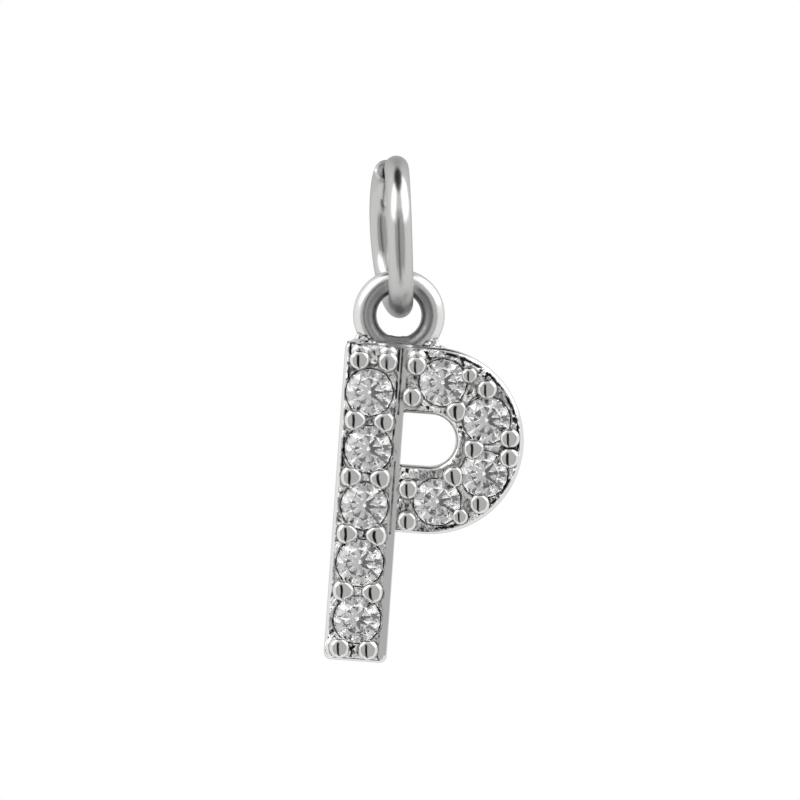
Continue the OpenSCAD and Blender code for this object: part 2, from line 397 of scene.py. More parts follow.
pivot = Vector(frame["joints"][0]["pos_m"])
print("the letter hangs from", [round(c / MM, 3) for c in pivot], "mm")

# %% [markdown]
# To bend a half, the whole wire is first turned until the place of the bend lies level, the half
# is turned there, and the whole is turned back. The vertices of the two halves are known by their
# numbers, because each stretch of the spin adds its own after those that are there.

# %% Bend the halves and place the ring
WIRE_SMOOTH = 40    # degrees between faces, past which an edge stays sharp


def bend(piece, chosen, at, by):
    """Turns the chosen vertices about the line that the wire follows at that place."""
    turns = ((lambda v: True, "X", at), (chosen, "Y", -by), (lambda v: True, "X", -at))
    for who, axis, angle in turns:
        pick(piece, "VERT", who)
        # in a script this operator turns the other way, so the angle's sign is changed
        bpy.ops.transform.rotate(value=-radians(angle), orient_axis=axis,
                                 center_override=on_ring(at))
        close(piece)


rear_half = set(range(counts[0] - WIRE_SIDES))
front_half = set(range(counts[1], counts[2]))
chamfer_rims = range(counts[2], len(ring.data.vertices))
rear_half.update(i for i in chamfer_rims if i < counts[2] + WIRE_SIDES)
front_half.update(i for i in chamfer_rims if i >= counts[2] + WIRE_SIDES)
bend(ring, lambda v: v.index in front_half, BEND_FROM, FRONT_BEND)
bend(ring, lambda v: v.index in rear_half, -BEND_FROM, REAR_BEND)
turned_right(ring)
settle(ring, Matrix.Translation(pivot) @ Matrix.Rotation(radians(RING_YAW), 4, "Z")
       @ Matrix.Rotation(radians(RING_LEAN), 4, "Y"))
ring.name = "wire_jump_ring"
smooth(ring, WIRE_SMOOTH)
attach(ring, "ring")
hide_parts("jump_ring")
compare(ring, "jump_ring")

# %% [markdown]
# ## The letter
# The letter is cast in one piece: a stem and a bowl with rounded front edges. It is drawn about
# the loop's centre, upright, with its face towards the camera, and hung at the end. The stem
# starts as a cube. Its corners are bevelled first and the whole front edge after them.

# %% The letter's sizes
LETTER_T = 1.6
STONE_D = 1.3
STEM_WALL = 0.22
BAND_WALL = 0.28
STEM_PITCH = 1.57
STEM_PITCHES = 4
TOP_MARGIN = 1.37
FOOT_MARGIN = 1.145
LOOP_HOLE_D = 1.24
LOOP_WIRE_D = 0.65
LOOP_SINK = 0.45
STEM_X = -0.55
COUNTER_R = 0.72
BOWL_STRAIGHT = 0.78
STEM_W = STONE_D + 2 * STEM_WALL
BAND_W = STONE_D + 2 * BAND_WALL
LETTER_H = TOP_MARGIN + STEM_PITCHES * STEM_PITCH + FOOT_MARGIN
loop_out_r = LOOP_HOLE_D / 2 + LOOP_WIRE_D
face = -LETTER_T / 2
top = LOOP_SINK - loop_out_r
foot = top - LETTER_H
stem_right = STEM_X + STEM_W / 2
bowl_x = stem_right + BOWL_STRAIGHT
bowl_r = COUNTER_R + BAND_W
bowl_mid_r = COUNTER_R + BAND_W / 2
bowl_z = top - bowl_r
print("letter", round(LETTER_H, 2), "mm tall, stem", round(STEM_W, 2), "mm wide")

# %% The stem
EDGE_R = 0.15
BACK_EDGE_R = 0.05
CORNER_R = 0.2
EDGE_STEPS = 10
BACK_EDGE_STEPS = 4


def in_face(a, b):
    """Whether an edge lies in the letter's front face."""
    return max(a.y, b.y) < face + HAIR


letter = start(bpy.ops.mesh.primitive_cube_add, size=1, location=(STEM_X, 0, (top + foot) / 2),
               scale=(STEM_W, LETTER_T, LETTER_H))
# the edges from front to back, but not the one at the top right, where the bowl goes on
pick(letter, "EDGE",
     lambda a, b: abs(a.y - b.y) > LETTER_T / 2 and not (a.x > STEM_X and a.z > bowl_z))
bpy.ops.mesh.bevel(offset=CORNER_R, segments=EDGE_STEPS, affect="EDGES")
close(letter)
pick(letter, "EDGE", in_face)
bpy.ops.mesh.bevel(offset=EDGE_R, segments=EDGE_STEPS, affect="EDGES")
close(letter)
pick(letter, "EDGE", lambda a, b: min(a.y, b.y) > -face - HAIR)
bpy.ops.mesh.bevel(offset=BACK_EDGE_R, segments=BACK_EDGE_STEPS, affect="EDGES")
print("stem faces:", close(letter), "from z", round(foot, 3), "to", round(top, 3))

# %% [markdown]
# Solids are joined and cut by a Boolean modifier. Its Manifold solver is quick and leaves a closed
# solid closed, which matters here, because more than sixty joins and cuts follow each other.

# %% Join and cut
def combine(piece, other, operation):
    """Adds the other solid to the piece, or cuts it away, and deletes the other."""
    alone(piece)
    modifier = piece.modifiers.new(operation.lower(), "BOOLEAN")
    modifier.operation = operation
    modifier.solver = "MANIFOLD"
    modifier.object = other
    bpy.ops.object.modifier_apply(modifier=modifier.name)
    bpy.data.objects.remove(other)
    return len(piece.data.polygons)


print("the stem alone has", len(letter.data.polygons), "faces")

# %% [markdown]
# The bowl is one section drawn out: along the upper arm, round the half circle and back along
# the lower arm. The section is a plane with its corners bevelled and its face deleted, so that
# only its outline is extruded and spun, and its two ends are closed afterwards.

# %% The bowl
BOWL_STEPS = 96
arm_middle = (0, 0, bowl_z + bowl_mid_r)
bowl = start(bpy.ops.mesh.primitive_plane_add, size=1, rotation=(0, radians(90), 0),
             location=arm_middle)
pick(bowl, "VERT", lambda v: True)
bpy.ops.transform.resize(value=(1, LETTER_T, BAND_W), center_override=arm_middle)
close(bowl)
for side, radius, steps in ((-1, EDGE_R, EDGE_STEPS), (1, BACK_EDGE_R, BACK_EDGE_STEPS)):
    pick(bowl, "VERT", lambda v: v.co.y * side > LETTER_T / 2 - HAIR)
    bpy.ops.mesh.bevel(offset=radius, segments=steps, affect="VERTICES")
    close(bowl)
pick(bowl, "FACE", lambda f: True)
bpy.ops.mesh.delete(type="ONLY_FACE")
close(bowl)
pick(bowl, "VERT", lambda v: True)
extrude(x=bowl_x)
bpy.ops.mesh.spin(steps=BOWL_STEPS, angle=-pi, center=(bowl_x, 0, bowl_z), axis=(0, 1, 0))
extrude(x=-bowl_x)
close(bowl)
for up in (1, -1):
    pick(bowl, "EDGE", lambda a, b: max(a.x, b.x) < HAIR and (a.z - bowl_z) * up > 0)
    bpy.ops.mesh.edge_face_add()
    close(bowl)
turned_right(bowl)
print("bowl reaches x", round(max(v.co.x for v in bowl.data.vertices), 3),
      "of", round(bowl_x + bowl_r, 3))
print("letter faces:", combine(letter, bowl, "UNION"))

# %% [markdown]
# The stem's right margin is a flat strip, cut bright with a graver from the top to the foot. Its
# edge is sharper than the others. A fine groove parts it from the bowl's two arms. A groove of
# 90 degrees in polished metal throws the dark lens slot straight back, which is why such lines
# look black on jewellery.

# %% The strip and the grooves
STRIP_W = 0.24
STRIP_T = 0.3
STRIP_EDGE_R = 0.04
STRIP_EDGE_STEPS = 4
GROOVE_W = 0.075
groove_x = stem_right - EDGE_R
strip_x = stem_right - STRIP_W / 2
strip = start(bpy.ops.mesh.primitive_cube_add, size=1,
              location=(strip_x, face + STRIP_T / 2, (top + foot) / 2),
              scale=(STRIP_W, STRIP_T, LETTER_H - 2 * CORNER_R))
pick(strip, "EDGE", in_face)
bpy.ops.mesh.bevel(offset=STRIP_EDGE_R, segments=STRIP_EDGE_STEPS, affect="EDGES")
close(strip)
print("letter faces with its strip:", combine(letter, strip, "UNION"))
for arm in (-1, 1):
    groove = start(bpy.ops.mesh.primitive_cube_add, size=1, rotation=(0, 0, radians(45)),
                   location=(groove_x, face, bowl_z + arm * bowl_mid_r),
                   scale=(GROOVE_W / sqrt(2), GROOVE_W / sqrt(2), BAND_W + EDGE_R))
    combine(letter, groove, "DIFFERENCE")
print("letter faces with its grooves:", len(letter.data.polygons))

# %% [markdown]
# ## Places of the stones and beads
# The stones and beads were set by eye, so each place is a little off its row. The places are
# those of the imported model: down the stem in pitches from the first stone, and round the bowl
# in degrees clockwise from straight up.

# %% Places
ROW_ASIDE = -0.05
# how far each stem stone lies to the right of its row, as a share of a stone
STEM_STONES = (-0.05, 0.01, 0.01, 0, 0.025)
# on the bowl: degrees, and how far out from the band's middle as a share of half its width
BOWL_STONES = ((8.5, -0.02), (66.5, 0.01), (118, 0.11), (169.5, 0.06))
BOWL_BEADS = ((38, -0.59), (97, -0.45), (143, -0.49), (27, 0.48), (44, 0.49), (84.5, 0.58),
              (98.5, 0.62), (138, 0.6), (154.5, 0.64))
# on the arms: 1 for the upper and -1 for the lower, the share of the straight stretch, and
# how far up from the arm's middle as a share of half its width
ARM_BEADS = ((1, 0.34, 0.41), (1, 0.26, -0.53), (-1, 0.34, -0.29), (-1, 0.38, 0.66))
PAIR_WIDTH = 0.78
TOP_PAIR_UP = 0.87
FOOT_PAIR_DOWN = 0.8
print("set by eye:", len(STEM_STONES) + len(BOWL_STONES), "stones")

# %% Work out the places
def on_row(step, aside):
    """A place on the stem, in pitches below the first stone."""
    return (STEM_X + ROW_ASIDE + aside, top - TOP_MARGIN - step * STEM_PITCH)


def on_bowl(place, out):
    """A place on the bowl's curved stretch."""
    reach = bowl_mid_r + out * BAND_W / 2
    return (bowl_x + reach * sin(radians(place)), bowl_z + reach * cos(radians(place)))


stone_places = [on_row(i, aside * STONE_D) for i, aside in enumerate(STEM_STONES)]
stone_places += [on_bowl(*stone) for stone in BOWL_STONES]
pair_steps = [-TOP_PAIR_UP / STEM_PITCH]
pair_steps += [step + 0.5 for step in range(STEM_PITCHES)]
pair_steps += [STEM_PITCHES + FOOT_PAIR_DOWN / STEM_PITCH]
bead_places = [on_row(step, side * PAIR_WIDTH / 2) for step in pair_steps for side in (-1, 1)]
bead_places += [on_bowl(*bead) for bead in BOWL_BEADS]
bead_places += [(stem_right + share * BOWL_STRAIGHT,
                 bowl_z + arm * (bowl_mid_r + out * BAND_W / 2))
                for arm, share, out in ARM_BEADS]
print(len(stone_places), "stones and", len(bead_places), "beads")

# %% [markdown]
# ## Seats and beads
# A setter drills a seat for each stone, brightens its mouth with a chamfer, and pushes beads
# of metal over the stone's edge with a cup-shaped tool. The tool leaves a low dome with a round
# shoulder and a steep wall. It is turned once on a lathe and copied. A bead between two stones
# is raised from the metal that they leave, which is narrow between them and wide outside, so
# such a bead is drawn out and tapered like a fan. Two beads on the bowl found less metal and are
# smaller and lower than the rest. The seats are cut first, the beads are added, and then the
# stones' own shape, with a little room, is cut from the beads, so that each bead lies over the
# stones that it holds.

# %% Turn and copy
def lathe(profile, steps):
    """A solid turned about the Y axis from points (radius, height above the face)."""
    piece = start(bpy.ops.mesh.primitive_plane_add, size=1)
    pick(piece, "VERT", lambda vertex: vertex.index > 0)
    bpy.ops.mesh.delete(type="VERT")
    close(piece)
    piece.data.vertices[0].co = (profile[0][0], -profile[0][1], 0)
    pick(piece, "VERT", lambda vertex: True)
    for (r0, h0), (r1, h1) in zip(profile, profile[1:]):
        extrude(x=r1 - r0, y=h0 - h1)
    bpy.ops.mesh.select_all(action="SELECT")
    bpy.ops.mesh.spin(steps=steps, angle=2 * pi, center=(0, 0, 0), axis=(0, 1, 0))
    close(piece)
    return turned_right(piece)


def copy_of(piece, x=0, y=0, z=0, turn=0, size=(1, 1, 1)):
    """A copy with its own mesh, stretched, turned clockwise and moved."""
    twin = piece.copy()
    twin.data = piece.data.copy()
    scene.collection.objects.link(twin)
    twin.data.transform(Matrix.Translation((x, y, z)) @ Matrix.Rotation(radians(turn), 4, "Y")
                        @ Matrix.Diagonal((*size, 1)))
    return twin


print("the letter's face is at", round(face, 3), "mm")

# %% Cut the seats
STONE_GAP = 0.02
GIRDLE_DROP = 0.08    # from the letter's face down to the middle of the girdle
MOUTH = 0.05
SEAT_STEPS = 96
# the cut of the stones, as shares of their width
TABLE = 0.6
CROWN = 0.15
HALF_GIRDLE = 0.015
PAVILION = 0.405
stone_r = STONE_D / 2
table_r = TABLE * stone_r
crown_h = CROWN * STONE_D
half_girdle = HALF_GIRDLE * STONE_D
pavilion_h = PAVILION * STONE_D
wide = stone_r + STONE_GAP
seat = lathe([(0, -pavilion_h - half_girdle - 2 * STONE_GAP), (wide, -half_girdle - STONE_GAP),
              (wide, GIRDLE_DROP - MOUTH), (wide + 3 * MOUTH, GIRDLE_DROP + 2 * MOUTH),
              (0, GIRDLE_DROP + 2 * MOUTH)], SEAT_STEPS)
girdle_y = face + GIRDLE_DROP
for x, z in stone_places:
    combine(letter, copy_of(seat, x, girdle_y, z), "DIFFERENCE")
bpy.data.objects.remove(seat)
print("letter faces with its seats:", len(letter.data.polygons))

# %% [markdown]
# The bead's section is a wide arc over the dome and a tight one round the shoulder. The two meet
# without a step where the dome's arc has fallen off by 18 degrees, and the shoulder's radius
# follows from that.

# %% The bead and the fan
BEAD_R = 0.28
BEAD_TOP = 0.24
BEAD_ROOT = 0.2
BEAD_STEPS = 48
DOME_R = 0.6
DOME_EDGE = 18    # degrees
DOME_STEP = 3
SHOULDER_STEP = 8
FAN_TAPER = 0.45
FAN_SIZE = (1, 1, 1.08)
edge_sin, edge_cos = sin(radians(DOME_EDGE)), cos(radians(DOME_EDGE))
shoulder_r = (BEAD_R - DOME_R * edge_sin) / (1 - edge_sin)
shoulder_h = BEAD_TOP - DOME_R * (1 - edge_cos) - shoulder_r * edge_cos
dome = [(DOME_R * sin(radians(t)), BEAD_TOP - DOME_R * (1 - cos(radians(t))))
        for t in range(0, DOME_EDGE, DOME_STEP)]
shoulder = [(BEAD_R - shoulder_r + shoulder_r * sin(radians(t)),
             shoulder_h + shoulder_r * cos(radians(t)))
            for t in range(DOME_EDGE, 91, SHOULDER_STEP)]
bead = lathe(dome + shoulder + [(BEAD_R, -BEAD_ROOT), (0, -BEAD_ROOT)], BEAD_STEPS)
fan = copy_of(bead)
alone(fan)
taper = fan.modifiers.new("taper", "SIMPLE_DEFORM")
taper.deform_method = "TAPER"
taper.deform_axis = "Z"
taper.lock_y = True
taper.factor = FAN_TAPER
bpy.ops.object.modifier_apply(modifier=taper.name)
print("bead of", len(bead.data.polygons), "faces, shoulder radius", round(shoulder_r, 3))

# %% Add the beads
FAN_REACH = 1.05            # a bead with two stones nearer than this lies between them
LOW_BEADS = (15, 20)        # their numbers among bead_places
LOW_SIZE = (0.8, 0.85, 0.8)
fans = 0
for number, (x, z) in enumerate(bead_places):
    reach = sorted(((x - sx) ** 2 + (z - sz) ** 2, sx, sz) for sx, sz in stone_places)
    (_, x0, z0), (second, x1, z1) = reach[:2]
    if sqrt(second) < FAN_REACH:
        away = degrees(atan2(x - (x0 + x1) / 2, z - (z0 + z1) / 2))
        combine(letter, copy_of(fan, x, face, z, away, FAN_SIZE), "UNION")
        fans += 1
    else:
        size = LOW_SIZE if number in LOW_BEADS else (1, 1, 1)
        combine(letter, copy_of(bead, x, face, z, 0, size), "UNION")
bpy.data.objects.remove(bead)
bpy.data.objects.remove(fan)
print("beads:", len(bead_places), "of which between two stones:", fans)

# %% Clear the beads from the stones
crown_top = half_girdle + crown_h
at_face = stone_r - (GIRDLE_DROP - half_girdle) / crown_h * (stone_r - table_r) + 2 * STONE_GAP
room = lathe([(0, 0), (wide, 0), (wide, GIRDLE_DROP), (at_face, GIRDLE_DROP),
              (table_r + 2 * STONE_GAP, crown_top), (table_r, 2 * crown_top),
              (0, 2 * crown_top)], SEAT_STEPS)
for x, z in stone_places:
    combine(letter, copy_of(room, x, girdle_y, z), "DIFFERENCE")
bpy.data.objects.remove(room)
print("letter faces with room for the stones:", len(letter.data.polygons))

# %% [markdown]
# ## The loop
# A ring of round wire is soldered upright into the letter's top edge. Solder climbs the wire
# at both feet and fills the corner below the hole. It is a bar with three round cuts: a fillet at
# each side, which touches the loop, and one along the foot of the hole.

# %% The loop and its solder
loop = start(bpy.ops.mesh.primitive_torus_add, rotation=(radians(90), 0, 0), major_segments=128,
             minor_segments=48, major_radius=(LOOP_HOLE_D + LOOP_WIRE_D) / 2,
             minor_radius=LOOP_WIRE_D / 2)
print("letter faces with its loop:", combine(letter, loop, "UNION"))

FOOT_R = 0.25
FOOT_T = 0.5
FOOT_EDGE_R = 0.1
FOOT_EDGE_STEPS = 6
FOOT_IN = 0.03      # moves the fillets in, so that they run into the loop
HOLLOW_R = 0.7
HOLLOW_UP = 0.03    # how far the solder rises in the hole's foot
CUT_DEPTH = 1
foot_up = top + FOOT_R
foot_out = sqrt((loop_out_r + FOOT_R) ** 2 - foot_up ** 2) - FOOT_IN
solder = start(bpy.ops.mesh.primitive_cube_add, size=1, location=(0, 0, top),
               scale=(2 * foot_out, FOOT_T, 2 * FOOT_R))
hollow_up = HOLLOW_R - LOOP_HOLE_D / 2 + HOLLOW_UP
for radius, vertices, x, z in ((FOOT_R, 64, -foot_out, foot_up), (FOOT_R, 64, foot_out, foot_up),
                               (HOLLOW_R, 160, 0, hollow_up)):
    cutter = start(bpy.ops.mesh.primitive_cylinder_add, vertices=vertices, radius=radius,
                   depth=CUT_DEPTH, rotation=(radians(90), 0, 0), location=(x, 0, z))
    combine(solder, cutter, "DIFFERENCE")
# the edges of its front and back that stand above the letter
pick(solder, "EDGE", lambda a, b: abs(a.y - b.y) < HAIR and abs(a.y) > FOOT_T / 2 - HAIR
     and min(a.z, b.z) > top - FOOT_R / 2)
bpy.ops.mesh.bevel(offset=FOOT_EDGE_R, segments=FOOT_EDGE_STEPS, affect="EDGES")
close(solder)
print("letter faces with its solder:", combine(letter, solder, "UNION"))

# %% [markdown]
# The solder has set in small lumps at the loop's two feet, and a wide smooth tongue of it has
# run over the top edge. The three beads under that edge were raised from thicker metal, which
# is left as a smooth swelling above each, and there is one more in the foot's left corner. A
# smooth drop is an ico sphere that is stretched and sunk into the metal. A lump is one that a
# cloud texture has roughened, and both are copied to each place with its own size.

# %% Lumps of solder
# each drop and lump: its middle from left to right, front to back and up, and its half sizes
LUMPS = ((-1.07, -0.2, -0.82, 0.13, 0.2, 0.1), (-0.9, -0.3, -0.78, 0.14, 0.2, 0.13),
         (-0.78, -0.12, -0.68, 0.12, 0.22, 0.12), (-0.68, -0.42, -0.82, 0.15, 0.3, 0.09),
         (-1.0, -0.5, -0.84, 0.14, 0.25, 0.08), (0.86, -0.2, -0.76, 0.12, 0.2, 0.12),
         (1.02, -0.26, -0.81, 0.15, 0.22, 0.1), (1.2, -0.4, -0.83, 0.13, 0.22, 0.07))
TONGUE = (-0.04, -0.5, -0.86, 0.62, 0.36, 0.13)
SWELL_SINK = 0.04
SWELL_UP = 0.24
SWELL = (0.27, 0.2, 0.24)
CORNER_SWELL = (-1.2, face + SWELL_SINK, foot + 0.36, 0.2, 0.13, 0.3)
TOP_ROW = 0.6       # beads nearer than this to the top edge have a swelling
LUMP_GRAIN = 0.7    # the clouds' size and height, as shares of a lump's half size
LUMP_RELIEF = 0.3
drop = start(bpy.ops.mesh.primitive_ico_sphere_add, subdivisions=5, radius=1)
combine(letter, copy_of(drop, *TONGUE[:3], size=TONGUE[3:]), "UNION")
for x, z in bead_places:
    if z > top - TOP_ROW:
        combine(letter, copy_of(drop, x, face + SWELL_SINK, z + SWELL_UP, size=SWELL), "UNION")
combine(letter, copy_of(drop, *CORNER_SWELL[:3], size=CORNER_SWELL[3:]), "UNION")
bpy.data.objects.remove(drop)
lump = start(bpy.ops.mesh.primitive_ico_sphere_add, subdivisions=4, radius=1)
clouds = bpy.data.textures.new("solder_lumps", "CLOUDS")
clouds.noise_scale = LUMP_GRAIN
ripple = lump.modifiers.new("ripple", "DISPLACE")
ripple.texture = clouds
ripple.strength = LUMP_RELIEF
bpy.ops.object.modifier_apply(modifier=ripple.name)
for x, y, z, *size in LUMPS:
    combine(letter, copy_of(lump, x, y, z, size=size), "UNION")
bpy.data.objects.remove(lump)
print("letter faces with its lumps:", len(letter.data.polygons))

# %% [markdown]
# The letter was drawn about the middle of its loop. It hangs with the top of the loop's hole just
# clear of the ring's wire, and leans a little, as the one in the photograph does.

# %% Hang the letter
HANG_GAP = 0.024
HANG_LEAN = 4         # degrees
LETTER_SMOOTH = 32    # degrees
loop_drop = LOOP_HOLE_D / 2 - wire_r - HANG_GAP
turned_right(letter)
settle_at = (Matrix.Translation(pivot) @ Matrix.Rotation(radians(HANG_LEAN), 4, "Y")
             @ Matrix.Translation((0, 0, -loop_drop * MM)))
settle(letter, settle_at)
letter.name = "set_letter"
smooth(letter, LETTER_SMOOTH)
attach(letter, "letter")
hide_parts("letter_setting")
compare(letter, "letter_setting")

# %% [markdown]
# ## Bright plate
# The metal is cast brass with a bright silver-coloured plate, polished by tumbling. Tumbling
# reaches only what stands proud: the face between the stones keeps the grain of the casting, and
# the inner side of the loop stays dull. That inner side is painted grey, and every corner, pit and
# edge line nearly black, both as painted shade. One material does all of it, because it is one
# casting. Each step below makes a mask, a number from 0 to 1 over the surface, and the last two
# steps turn the masks into colour, dullness and relief.
#
# The real grain and pits of such a casting are about 0.03 mm wide, which is one pixel of the
# picture. They are drawn 0.2 and 0.14 mm wide, as coarse as they need to be to show.

# %% Where the plate is as cast
PATCHES = 0.7
plate = bpy.data.materials.new("silver_plate_tumbled")
plate.use_nodes = True
tree = plate.node_tree
metal = tree.nodes["Principled BSDF"]
metal.inputs["Metallic"].default_value = 1.0
where = add_node(tree, "ShaderNodeTexCoord").outputs["Object"]
place = add_node(tree, "ShaderNodeSeparateXYZ", inputs={0: where})

# everything at the face's own depth, in patches
off_face = add_node(tree, "ShaderNodeMath", {"operation": "SUBTRACT"},
                    {0: place.outputs["Y"], 1: pivot.y + face * MM})
off_face = add_node(tree, "ShaderNodeMath", {"operation": "ABSOLUTE"}, {0: off_face})
on_face = add_node(tree, "ShaderNodeMapRange", inputs={
    "Value": off_face, "From Min": 0.01 * MM, "From Max": 0.02 * MM, "To Min": 1.0, "To Max": 0.0})
patches = add_node(tree, "ShaderNodeTexNoise", inputs={
    "Vector": where, "Scale": 1 / (PATCHES * MM), "Detail": 1.0})
patches = add_node(tree, "ShaderNodeMapRange", inputs={
    "Value": patches, "From Min": 0.42, "From Max": 0.55, "To Min": 0.25})
as_cast = add_node(tree, "ShaderNodeMath", {"operation": "MULTIPLY"}, {0: on_face, 1: patches})
print("the face lies at", round(pivot.y / MM + face, 3), "mm")

# %% [markdown]
# The strip along the stem was cut bright, so it is smooth. A point is on it when it is near the
# strip's middle line, measured across the letter. The letter hangs a little askew, so its own
# sideways direction is worked out first, and a dot product measures along that.

# %% The bright strip
across = settle_at.to_3x3() @ Vector((1, 0, 0))
strip_line = (settle_at @ Vector((strip_x * MM, 0, 0))).dot(across)
sideways = add_node(tree, "ShaderNodeVectorMath", {"operation": "DOT_PRODUCT"},
                    {0: where, 1: across}).outputs["Value"]
past_strip = add_node(tree, "ShaderNodeMath", {"operation": "SUBTRACT"},
                      {0: sideways, 1: strip_line})
off_strip = add_node(tree, "ShaderNodeMath", {"operation": "ABSOLUTE"}, {0: past_strip})
beside_strip = add_node(tree, "ShaderNodeMapRange", inputs={
    "Value": off_strip, "From Min": (STRIP_W / 2 - 0.01) * MM,
    "From Max": (STRIP_W / 2 + 0.01) * MM})
as_cast = add_node(tree, "ShaderNodeMath", {"operation": "MULTIPLY"},
                   {0: as_cast, 1: beside_strip})
print("the strip's line lies", round(strip_line / MM, 3), "mm across")

# %% [markdown]
# The tumbling shot doesn't get into the loop, so its inner side stays dull, and it is painted
# grey as painted shade. That side is all that lies nearer to the loop's middle than the middle of
# its wire does. Outside it, the polish is a little duller as far as the solder reaches.

# %% The loop's inner side
SOLDER_REACH = 1.25
SOLDER_FADE = 1.45
loop_at = settle_at @ Vector((0, 0, 0))
mid_wire = (LOOP_HOLE_D + LOOP_WIRE_D) / 2
flat_place = add_node(tree, "ShaderNodeVectorMath", {"operation": "MULTIPLY"},
                      {0: where, 1: (1, 0, 1)})
from_loop = add_node(tree, "ShaderNodeVectorMath", {"operation": "DISTANCE"},
                     {0: flat_place, 1: (loop_at.x, 0, loop_at.z)}).outputs["Value"]
in_loop = add_node(tree, "ShaderNodeMapRange", inputs={
    "Value": from_loop, "From Min": (mid_wire - 0.08) * MM, "From Max": (mid_wire + 0.04) * MM,
    "To Min": 1.0, "To Max": 0.0})
by_loop = add_node(tree, "ShaderNodeMapRange", inputs={
    "Value": from_loop, "From Min": SOLDER_REACH * MM, "From Max": SOLDER_FADE * MM,
    "To Min": 0.2, "To Max": 0.0})
print("the loop's middle is at", [round(c / MM, 3) for c in loop_at], "mm")

# %% [markdown]
# Corners and crevices are painted nearly black, as painted shade. The Ambient Occlusion node finds
# such places: it is dark where metal or stone is near in most directions. Noise makes its edge
# uneven. The pits of the casting are painted dark too, as painted shade, but only where the plate
# is as cast.

# %% Painted shade in corners and pits
CORNER_REACH = 0.11
UNEVEN = 0.25
PITS = 0.14
open_air = add_node(tree, "ShaderNodeAmbientOcclusion", {"samples": 8},
                    {"Distance": CORNER_REACH * MM}).outputs["AO"]
uneven = add_node(tree, "ShaderNodeTexNoise", inputs={
    "Vector": where, "Scale": 1 / (UNEVEN * MM), "Detail": 2.0})
uneven = add_node(tree, "ShaderNodeMapRange", inputs={
    "Value": uneven, "From Min": 0.3, "From Max": 0.7, "To Min": -0.17, "To Max": 0.22})
# the painted shade in corners: 0 where the corners are painted darkest, 1 where none is painted
clear_of_dark_shade = add_node(tree, "ShaderNodeMath", {"operation": "ADD"}, {0: open_air, 1: uneven})
clear_of_dark_shade = add_node(tree, "ShaderNodeMapRange", inputs={
    "Value": clear_of_dark_shade, "From Min": 0.48, "From Max": 0.78})

# the pits' painted shade: small dark specks, only where the plate is as cast
pits = add_node(tree, "ShaderNodeTexNoise", inputs={
    "Vector": where, "Scale": 1 / (PITS * MM), "Detail": 2.0})
pits = add_node(tree, "ShaderNodeMapRange", inputs={
    "Value": pits, "From Min": 0.4, "From Max": 0.45})
tumbled = add_node(tree, "ShaderNodeMath", {"operation": "SUBTRACT"}, {0: 1.0, 1: as_cast})
pits = add_node(tree, "ShaderNodeMath", {"operation": "MAXIMUM"}, {0: pits, 1: tumbled})
clear_of_dark_shade = add_node(tree, "ShaderNodeMath", {"operation": "MULTIPLY"}, {0: clear_of_dark_shade, 1: pits})
clear_of_dark_shade = add_node(tree, "ShaderNodeMath", {"operation": "MAXIMUM"}, {0: clear_of_dark_shade, 1: in_loop})
print("painted shade in corners nearer than", CORNER_REACH, "mm and in pits of", PITS, "mm")

# %% [markdown]
# Rows of small dark dashes are painted along some edges, as painted shade. They follow the
# rounded edge of the bowl and, from the foot of the counter up, the stem's left edge and the
# strip. A row is a thin line, worked out as a distance, and noise breaks it into dashes.

# %% The row round the bowl
bowl_at = settle_at @ Vector((bowl_x * MM, 0, bowl_z * MM))
from_bowl = add_node(tree, "ShaderNodeVectorMath", {"operation": "DISTANCE"},
                     {0: flat_place, 1: (bowl_at.x, 0, bowl_at.z)}).outputs["Value"]
off_rim = add_node(tree, "ShaderNodeMath", {"operation": "SUBTRACT"},
                   {0: from_bowl, 1: (bowl_r - EDGE_R) * MM})
off_rim = add_node(tree, "ShaderNodeMath", {"operation": "ABSOLUTE"}, {0: off_rim})
in_row = add_node(tree, "ShaderNodeMapRange", inputs={
    "Value": off_rim, "From Min": 0.025 * MM, "From Max": 0.05 * MM, "To Min": 1.0, "To Max": 0.0})
on_bowl_side = add_node(tree, "ShaderNodeMath", {"operation": "GREATER_THAN"},
                        {0: past_strip, 1: STRIP_W / 2 * MM})
in_row = add_node(tree, "ShaderNodeMath", {"operation": "MULTIPLY"}, {0: in_row, 1: on_bowl_side})
print("a row round", [round(c / MM, 3) for c in bowl_at], "mm")

# %% The two rows of the stem
upper = add_node(tree, "ShaderNodeMath", {"operation": "GREATER_THAN"},
                 {0: place.outputs["Z"], 1: bowl_at.z - COUNTER_R * MM})
for line_x in (STEM_X - STEM_W / 2 + EDGE_R, strip_x - STRIP_W / 2):
    off_line = add_node(tree, "ShaderNodeMath", {"operation": "SUBTRACT"},
                        {0: past_strip, 1: (line_x - strip_x) * MM})
    off_line = add_node(tree, "ShaderNodeMath", {"operation": "ABSOLUTE"}, {0: off_line})
    in_line = add_node(tree, "ShaderNodeMapRange", inputs={
        "Value": off_line, "From Min": 0.02 * MM, "From Max": 0.04 * MM,
        "To Min": 1.0, "To Max": 0.0})
    in_line = add_node(tree, "ShaderNodeMath", {"operation": "MULTIPLY"}, {0: in_line, 1: upper})
    in_row = add_node(tree, "ShaderNodeMath", {"operation": "MAXIMUM"}, {0: in_row, 1: in_line})
    print("a row at", round(line_x, 3), "mm")

